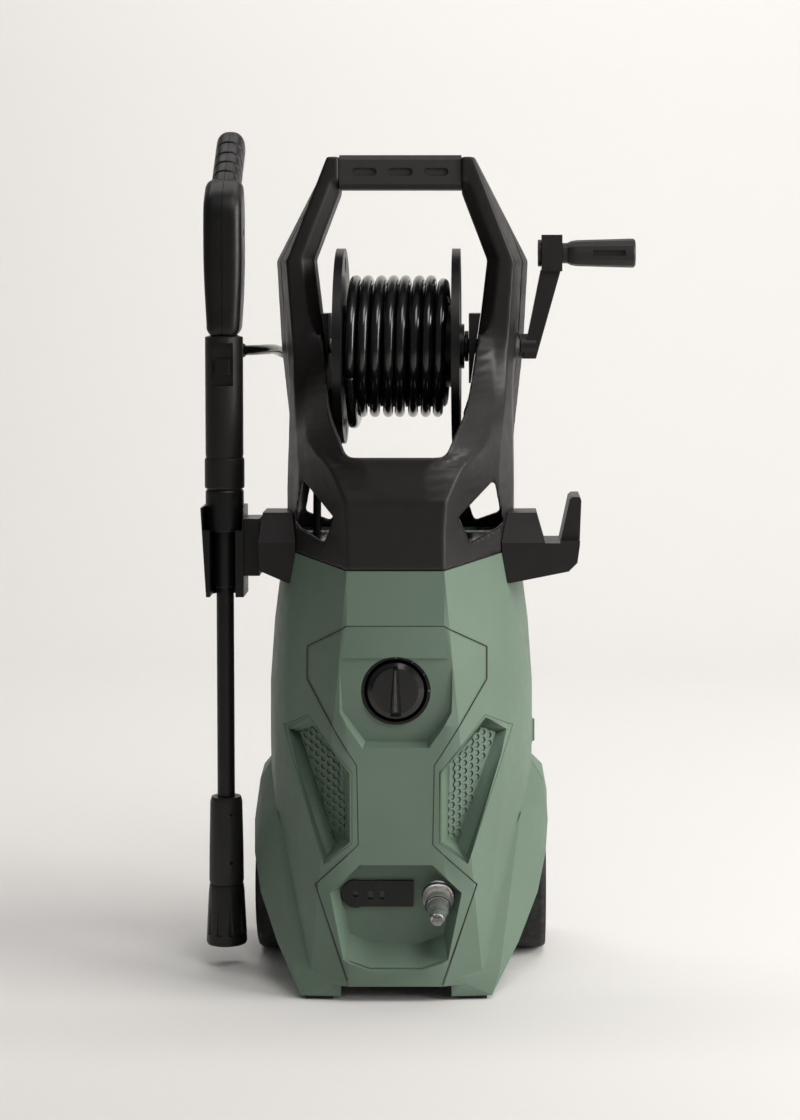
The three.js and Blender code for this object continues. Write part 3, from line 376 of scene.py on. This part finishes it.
def round_edges(name, obj):
    """Joins flat facets, then gives every real edge a small round."""
    flat = obj.modifiers.new("flat", "DECIMATE")
    flat.decimate_type = "DISSOLVE"
    flat.angle_limit = math.radians(0.6)
    bevel = obj.modifiers.new("bevel", "BEVEL")
    bevel.width = ROUNDING.get(name, DEFAULT_ROUNDING) / 1000
    bevel.segments = 3
    bevel.limit_method = "ANGLE"
    bevel.angle_limit = math.radians(24)
    bevel.use_clamp_overlap = True
    normals = obj.modifiers.new("normals", "WEIGHTED_NORMAL")
    normals.weight = 80


# ---- hose ---------------------------------------------------------------------------------
WINDING_ENDS = (-0.0531, 0.0481)           # x of the first and last turn, from the symmetry plane
WINDING_LAYERS = 3
TURNS_PER_LAYER = 7.5
LAYER_STEP = 0.01058
CLIMB_TURNS = 0.3                          # turns that the hose takes to climb to the next layer
WANDER = 0.0007                            # how far a turn strays sideways
LEAVING_ANGLE = math.radians(205)          # where the last turn ends, at the front of the reel
LEAD_OFF_DEGREES = (0, 10)                 # angles past it where the free run lies on the outer layer
POINTS_PER_TURN = 40
# The free run's points in mm from the symmetry plane, the same as in the CAD source.
HOSE_ROUTE = [(-51, 6, 579.8), (-51, 40, 573.6), (-51, 76, 575), (-51.5, 103, 579), (-56, 124.5, 585.5),
              (-67, 142, 596), (-83.5, 152.5, 609), (-102.5, 154.5, 623.5), (-119.5, 148.5, 636),
              (-132, 136, 644.5), (-139.5, 118.5, 649.5), (-143.6, 98, 651.5), (-149.5, 76, 652),
              (-158.8, 57.1, 652), (-171.37, 42.66, 652)]


def on_reel(x, radius, angle):
    """Point at a radius and angle round the reel, x from the symmetry plane."""
    y = REEL_AXIS.y + radius * math.cos(angle)
    z = REEL_AXIS.z + radius * math.sin(angle)
    return Vector((SHIFT.x + x, y, z))


def winding_line():
    """Three layers of turns, wound to and fro between the flanges."""
    left, right = WINDING_ENDS
    inner = DRUM_RADIUS + HOSE_DIAMETER / 2
    count = int(WINDING_LAYERS * TURNS_PER_LAYER * POINTS_PER_TURN)
    first = LEAVING_ANGLE - 2 * math.pi * WINDING_LAYERS * TURNS_PER_LAYER
    line = []
    for i in range(count + 1):
        turns = i / POINTS_PER_TURN
        layer = min(int(turns / TURNS_PER_LAYER), WINDING_LAYERS - 1)
        along = turns / TURNS_PER_LAYER - layer
        rise = max(0.0, 1 - along * TURNS_PER_LAYER / CLIMB_TURNS) if layer else 0.0
        radius = inner + LAYER_STEP * (layer - rise * rise * (3 - 2 * rise))
        span = along if layer % 2 else 1 - along
        wander = WANDER * math.sin(2.3 * turns) * math.sin(math.pi * along)
        x = left + (right - left) * span + wander
        line.append(on_reel(x, radius, first + 2 * math.pi * turns))
    return line


def add_winding():
    """The turns on the reel, which turn with it."""
    line = winding_line()
    winding = sweep_tube("hose_turns", line, HOSE_DIAMETER / 2, sides=14)
    add_piece(winding, "reel", LOOKS["hose_pvc"])
    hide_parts("hose_winding")


def add_free_run():
    """The hose from the winding to the gun."""
    outer = DRUM_RADIUS + HOSE_DIAMETER / 2 + LAYER_STEP * (WINDING_LAYERS - 1)
    lead = [on_reel(WINDING_ENDS[0], outer, LEAVING_ANGLE + math.radians(a)) for a in LEAD_OFF_DEGREES]
    route = open_curve([*lead, *[machine(*p) for p in HOSE_ROUTE]], 5)
    run = sweep_tube("hose_run", route, HOSE_DIAMETER / 2, sides=16)
    run.data.materials.append(LOOKS["hose_pvc"])
    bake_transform(run)
    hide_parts("hose_free_run")


# ---- gun ----------------------------------------------------------------------------------
# The gun is built in mm from the lance's axis, as outlines of (back, z), and scaled at the end.
GUN_BODY = [(-17, 671), (-19, 700), (-21, 745), (-21, 790), (-16, 811), (-3, 825), (12, 834), (26, 826),
            (34, 808), (36, 780), (36, 725), (34, 695), (26, 671), (0, 669)]
GUN_GUARD = [(84, 864), (93, 857), (110, 864), (122, 842), (126, 800), (116, 758), (88, 712), (52, 688),
             (30, 684), (30, 699), (50, 703), (80, 724), (105, 765), (115, 802), (110, 838), (98, 856)]
HANDLE_ROOT = (14, 812)                    # the handle's axis where it leaves the body
HANDLE_SLOPE = math.radians(40)
HANDLE_LENGTH = 103
HANDLE_DOME = 14                           # length of the rounded end
HANDLE_HALF_WIDTH, HANDLE_HALF_DEPTH = 15.4, 19
HANDLE_GROOVES = (26, 42, 58, 76)          # along the handle
GROOVE_HALF_WIDTH, GROOVE_DEPTH, GROOVE_BOW = 0.8, 0.07, 5
SEAM_HALF_GAP = 0.2


def pillow(name, outline, half_width, rounding, steps=6):
    """Solid with the given side view (back, z in mm), its edges rounded on both sides."""
    curve = bpy.data.curves.new(name, "CURVE")
    curve.dimensions = "2D"
    curve.fill_mode = "BOTH"
    curve.extrude = half_width - rounding
    curve.bevel_depth = rounding
    curve.offset = -rounding
    curve.bevel_resolution = 5
    line = closed_curve(outline, steps)
    spline = curve.splines.new("POLY")
    spline.points.add(len(line) - 1)
    for point, (back, z) in zip(spline.points, line):
        point.co = (back, z, 0, 1)
    spline.use_cyclic_u = True
    shape = bpy.data.objects.new(name, curve)
    mesh = bpy.data.meshes.new_from_object(shape)
    bpy.data.objects.remove(shape)
    for vertex in mesh.vertices:
        back, z, x = vertex.co
        vertex.co = (x, back, z)
    obj = bpy.data.objects.new(name, mesh)
    bpy.context.scene.collection.objects.link(obj)
    return obj


def merged(obj):
    """Joins the doubled points that a converted curve has, and makes its faces point out."""
    bm = bmesh.new()
    bm.from_mesh(obj.data)
    bmesh.ops.remove_doubles(bm, verts=bm.verts, dist=0.01)
    bmesh.ops.recalc_face_normals(bm, faces=bm.faces)
    bm.to_mesh(obj.data)
    bm.free()
    return obj


def carve(obj, cutter):
    """Cuts one solid with another and drops the cutter."""
    step = obj.modifiers.new("step", "BOOLEAN")
    step.operation = "DIFFERENCE"
    step.solver = "EXACT"
    step.object = cutter
    depsgraph = bpy.context.evaluated_depsgraph_get()
    obj.data = bpy.data.meshes.new_from_object(obj.evaluated_get(depsgraph))
    obj.modifiers.clear()
    bpy.data.objects.remove(cutter)


def box_mesh(name, low, high):
    verts = [(x, y, z) for x in (low[0], high[0]) for y in (low[1], high[1]) for z in (low[2], high[2])]
    faces = [(0, 1, 3, 2), (4, 6, 7, 5), (0, 4, 5, 1), (2, 3, 7, 6), (0, 2, 6, 4), (1, 5, 7, 3)]
    return outward(mesh_object(name, verts, faces))


def slim_foot(obj):
    """Narrows the gun's body towards its foot, where it meets the lance."""
    foot_z, taper_length, foot_width = 672, 90, 0.84
    for vertex in obj.data.vertices:
        above = min(1, max(0, (vertex.co.z - foot_z) / taper_length))
        vertex.co.x *= foot_width + (1 - foot_width) * math.sin(math.pi / 2 * above)


def gun_body():
    """Front part of the gun with its hollow, trigger slot and bolt bore."""
    body = merged(pillow("gun_body", GUN_BODY, 20.2, 11))
    slim_foot(body)
    carve(body, box_mesh("hollow", (-9.3, -8.3, 660), (9.3, 20.3, 762)))
    carve(body, box_mesh("slot", (-5.6, 16, 735), (5.6, 60, 811)))
    carve(body, disc("bolt_bore", (0, 8, 778), 3.85, 60, 24))
    return body


def handle_stations():
    """Places along the handle and how full it is there: straight, then closed by a dome."""
    straight = HANDLE_LENGTH - HANDLE_DOME
    stations = [(half_steps / 2, 1.0) for half_steps in range(2 * straight)]
    for degrees in range(0, 90, 9):
        angle = math.radians(degrees)
        stations.append((straight + HANDLE_DOME * math.sin(angle), math.cos(angle) ** 0.6))
    return stations


def squared(value):
    """A cosine or sine pushed outwards, so that a round section turns a little square."""
    return math.copysign(abs(value) ** 0.8, value)


def gun_handle():
    """Rounded handle with bowed finger grooves, closed by a domed end."""
    direction = Vector((0, math.cos(HANDLE_SLOPE), math.sin(HANDLE_SLOPE)))
    across = Vector((0, -direction.z, direction.y))
    root = Vector((0, *HANDLE_ROOT))
    stations = handle_stations()
    sides, verts = 40, []
    for along, dome in stations:
        for k in range(sides):
            angle = 2 * math.pi * k / sides
            bow = GROOVE_BOW * math.cos(angle) ** 2
            groove = max(math.exp(-((along + bow - at) / GROOVE_HALF_WIDTH) ** 2) for at in HANDLE_GROOVES)
            size = dome * (1 - GROOVE_DEPTH * groove)
            wide = Vector((HANDLE_HALF_WIDTH * squared(math.cos(angle)) * size, 0, 0))
            high = across * HANDLE_HALF_DEPTH * squared(math.sin(angle)) * size
            verts.append(root + direction * along + wide + high)
    faces = []
    for row in range(len(stations) - 1):
        for k in range(sides):
            a, b = row * sides + k, row * sides + (k + 1) % sides
            faces.append((a, b, b + sides, a + sides))
    faces += [tuple(range(sides)), tuple(range(len(verts) - sides, len(verts)))]
    return outward(mesh_object("gun_handle", verts, faces))


def half_of(whole, side):
    """The part of a solid on one side of the seam, closed by a flat face."""
    bm = bmesh.new()
    bm.from_mesh(whole.data)
    cut = bmesh.ops.bisect_plane(bm, geom=[*bm.verts, *bm.edges, *bm.faces], dist=0.0001,
                                 plane_co=(side * SEAM_HALF_GAP, 0, 0), plane_no=(side, 0, 0),
                                 clear_inner=True)
    rim = [item for item in cut["geom_cut"] if isinstance(item, bmesh.types.BMEdge)]
    bmesh.ops.triangle_fill(bm, use_beauty=True, edges=rim)
    bmesh.ops.recalc_face_normals(bm, faces=bm.faces)
    mesh = bpy.data.meshes.new(whole.name)
    bm.to_mesh(mesh)
    bm.free()
    return mesh


def add_gun():
    """The gun's two halves, parted by a fine seam."""
    solids = [gun_body(), gun_handle(), merged(pillow("guard", GUN_GUARD, 7.6, 4.5, 3))]
    for side, name in ((-1, "left"), (1, "right")):
        together = bmesh.new()
        for solid in solids:
            together.from_mesh(half_of(solid, side))
        half = mesh_object(f"gun_half_{name}", [], [])
        together.to_mesh(half.data)
        together.free()
        half.data.transform(Matrix.Translation(LANCE_AXIS) @ Matrix.Scale(0.001, 4))
        half.data.shade_smooth()
        edges = half.modifiers.new("edges", "EDGE_SPLIT")
        edges.split_angle = math.radians(38)
        add_piece(half, "gun", LOOKS["black_plastic"])
        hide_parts(f"gun_shell_{name}")
    for solid in solids:
        bpy.data.objects.remove(solid)


def disc(name, centre, radius, length, sides):
    """Round bar along X."""
    verts = []
    for x in (-length / 2, length / 2):
        for k in range(sides):
            angle = 2 * math.pi * k / sides
            verts.append(Vector(centre) + Vector((x, radius * math.cos(angle), radius * math.sin(angle))))
    faces = [(k, (k + 1) % sides, (k + 1) % sides + sides, k + sides) for k in range(sides)]
    faces += [tuple(range(sides)), tuple(range(sides, 2 * sides))]
    return outward(mesh_object(name, verts, faces))


# ---- front details ------------------------------------------------------------------------
# Outline of the right vent's floor, x and z in mm from the symmetry plane.
VENT_FLOOR = [(101, 262), (86, 270), (54, 236), (53, 163), (62, 155)]
FACET_START, FACET_SLOPE = (44, -153), 65 / 75      # vent facet in plan: y rises with x
VENT_DEPTH = 13
HEX_PITCH = 8.2
HEX_WALL = 0.55
HEX_HEIGHT = 2.4
HEX_MARGIN = 2.6                           # a cell's centre stays this far inside the floor's edge
NET_START = (50, 150)                      # x, z of the net's first cell
NET_ROWS, NET_COLUMNS = 31, 12
SQUEEZE = 0.88                             # the net looks regular from the front, on the slanted floor


def inside(outline, x, z, margin):
    """True when a point lies in a convex outline, at least a margin from each side."""
    count = len(outline)
    sides = [(outline[i], outline[(i + 1) % count]) for i in range(count)]
    area = sum(ax * bz - bx * az for (ax, az), (bx, bz) in sides)
    turn = math.copysign(1, area)
    for (ax, az), (bx, bz) in sides:
        distance = turn * ((bx - ax) * (z - az) - (bz - az) * (x - ax)) / math.hypot(bx - ax, bz - az)
        if distance < margin:
            return False
    return True


def on_vent_floor(side, x, z, lift):
    """Point over the slanted floor of one side vent, lifted towards the front."""
    y = FACET_START[1] + (x - FACET_START[0]) * FACET_SLOPE + VENT_DEPTH - lift
    return machine(side * x, y, z)


def hex_cell(side, x, z):
    """Corners and faces of one cell's wall: outer foot, outer top, inner top, inner foot."""
    cell = HEX_PITCH / math.sqrt(3)
    opening = 1 - HEX_WALL / cell * 2
    corners = 6
    verts, faces = [], []
    for scale, lift in ((1.0, 0.2), (1.0, HEX_HEIGHT), (opening, HEX_HEIGHT), (opening, 0.2)):
        for k in range(corners):
            angle = math.radians(60 * k)
            across = SQUEEZE * cell * scale * math.cos(angle)
            verts.append(on_vent_floor(side, x + across, z + cell * scale * math.sin(angle), lift))
    for loop in range(4):
        a, b = loop * corners, (loop + 1) % 4 * corners
        for k in range(corners):
            n = (k + 1) % corners
            faces.append((a + k, a + n, b + n, b + k))
    return verts, faces


def vent_back(side):
    """Corners and faces of the thin plate behind the net."""
    count = len(VENT_FLOOR)
    verts = [on_vent_floor(side, x, z, lift) for lift in (0.05, 0.35) for x, z in VENT_FLOOR]
    faces = [tuple(range(count)), tuple(range(count, 2 * count))]
    faces += [(k, (k + 1) % count, (k + 1) % count + count, k + count) for k in range(count)]
    return verts, faces


def vent_grille(side):
    """Honeycomb net that covers the floor of one side vent."""
    parts = []
    for row in range(NET_ROWS):
        for column in range(NET_COLUMNS):
            z = NET_START[1] + row * HEX_PITCH * 0.5
            x = NET_START[0] + (2 * column + row % 2) * HEX_PITCH * 0.866 * SQUEEZE
            if inside(VENT_FLOOR, x, z, HEX_MARGIN):
                parts.append(hex_cell(side, x, z))
    parts.append(vent_back(side))
    verts, faces = [], []
    for part_verts, part_faces in parts:
        start = len(verts)
        verts += part_verts
        faces += [tuple(start + corner for corner in face) for face in part_faces]
    name = "vent_grille_right" if side > 0 else "vent_grille_left"
    grille = outward(mesh_object(name, verts, faces))
    add_piece(grille, "housing", LOOKS["green_plastic"])


# Right half of the centre panel's outline, x and z in mm from the symmetry plane.
PANEL_HALF = [(49, 380.5), (92, 354), (92, 321), (39, 240), (37.5, 160.5), (82, 117), (47, 19)]


def panel_surface_y(x, z):
    """Front of the centre panel at a place in mm from the symmetry plane, or None beside it."""
    panel = nodes["front_panel"]
    to_panel = panel.matrix_world.inverted()
    start, end = to_panel @ machine(x, -300, z), to_panel @ machine(x, 0, z)
    hit, place, _, _ = panel.ray_cast(start, (end - start).normalized())
    return (panel.matrix_world @ place).y if hit else None


def add_seam_shade():
    """Thin dark tube in the gap round the centre panel, laid on the panel's surface: painted shade in the
    gap.
    """
    outline = [*PANEL_HALF[::-1], *[(-x, z) for x, z in PANEL_HALF]]
    step_length, depth, radius = 4, 0.00025, 0.00055
    middle_z = 200
    line = []
    for (ax, az), (bx, bz) in zip(outline, outline[1:]):
        steps = max(2, int(math.hypot(bx - ax, bz - az) / step_length))
        for k in range(steps):
            x, z = ax + (bx - ax) * k / steps, az + (bz - az) * k / steps
            # The panel ends at the gap, so its surface is found a little further in.
            surface_y = panel_surface_y(0.985 * x, z + 0.005 * (middle_z - z))
            if surface_y is not None:
                line.append(Vector((SHIFT.x + x / 1000, surface_y + depth, z / 1000)))
    seam = sweep_tube("panel_seam_shade", line, radius, 6)
    # The dark rubber paint on this tube is painted shade in the gap, not a real rubber part.
    add_piece(seam, "housing", LOOKS["rubber"])


def slot_shade_sheet():
    """Thin dark sheet behind the slots of the keyhole plate: painted shade in the slots' hollows."""
    backing = box_mesh("slot_shade_sheet", machine(-45, -128.5, 96), machine(-8, -128.15, 109))
    add_piece(backing, "housing", LOOKS["gloss_black"])


ADAPTER_TILT = math.radians(25)
ADAPTER_FOOT = (42.5, -136.9, 104)
RING_STEPS = 48


def adapter_ring(name, along, radius, thickness):
    """Dark ring round the tilted inlet adapter, at a distance along its axis."""
    outward_axis = Vector((0, -math.cos(ADAPTER_TILT), -math.sin(ADAPTER_TILT)))
    across = Vector((0, -math.sin(ADAPTER_TILT), math.cos(ADAPTER_TILT)))
    centre = machine(*ADAPTER_FOOT) + outward_axis * along / 1000
    loop = []
    for k in range(RING_STEPS + 1):
        angle = 2 * math.pi * k / RING_STEPS
        loop.append(centre + (Vector((math.cos(angle), 0, 0)) + across * math.sin(angle)) * radius / 1000)
    ring = sweep_tube(name, loop, thickness / 1000, 8)
    add_piece(ring, "housing", LOOKS["rubber"])


def dial_ridge_highlight():
    """Thin lighter strip on the ridge of the knob's pointer: a painted highlight."""
    foot, tip = DIAL_Z - 20, DIAL_Z + 22
    corners = [(-1.9, -158.05, foot), (1.9, -158.05, foot), (0.7, -157.2, tip), (-0.7, -157.2, tip)]
    thickness = 0.6
    verts = [machine(*p) for p in corners] + [machine(x, y + thickness, z) for x, y, z in corners]
    faces = [(0, 1, 2, 3), (7, 6, 5, 4), (0, 4, 5, 1), (1, 5, 6, 2), (2, 6, 7, 3), (3, 7, 4, 0)]
    ridge = outward(mesh_object("dial_ridge_highlight", verts, faces))
    add_piece(ridge, "dial", LOOKS["dial_highlight_paint"])


def dial_marks():
    """Small raised dots on the bezel, from the top round to the right."""
    circle_radius, bezel_y, dot_radius = 33.3, -147.0, 0.0009
    for number in range(4):
        angle = math.radians(90 - 30 * number)
        x, z = circle_radius * math.cos(angle), DIAL_Z + circle_radius * math.sin(angle)
        bpy.ops.mesh.primitive_uv_sphere_add(segments=16, ring_count=8, radius=dot_radius,
                                             location=machine(x, bezel_y, z))
        dot = bpy.context.object
        dot.name = f"dial_mark_{number}"
        dot.data.transform(Matrix.Translation(dot.location))
        dot.location = (0, 0, 0)
        dot.data.shade_smooth()
        add_piece(dot, "housing", LOOKS["mark_paint"])


# ---- the machine --------------------------------------------------------------------------
add_camera()
add_winding()
add_free_run()
add_gun()
for flank in (-1, 1):
    vent_grille(flank)
dial_marks()
dial_ridge_highlight()
adapter_ring("adapter_ring_base", 1.0, 15.9, 1.1)
adapter_ring("adapter_ring_tip", 18.0, 12.6, 0.7)
add_seam_shade()
slot_shade_sheet()
add_studio()
add_backdrop()
for node_name, node in nodes.items():
    finish_cad_node(node_name, node)

bpy.context.view_layer.update()
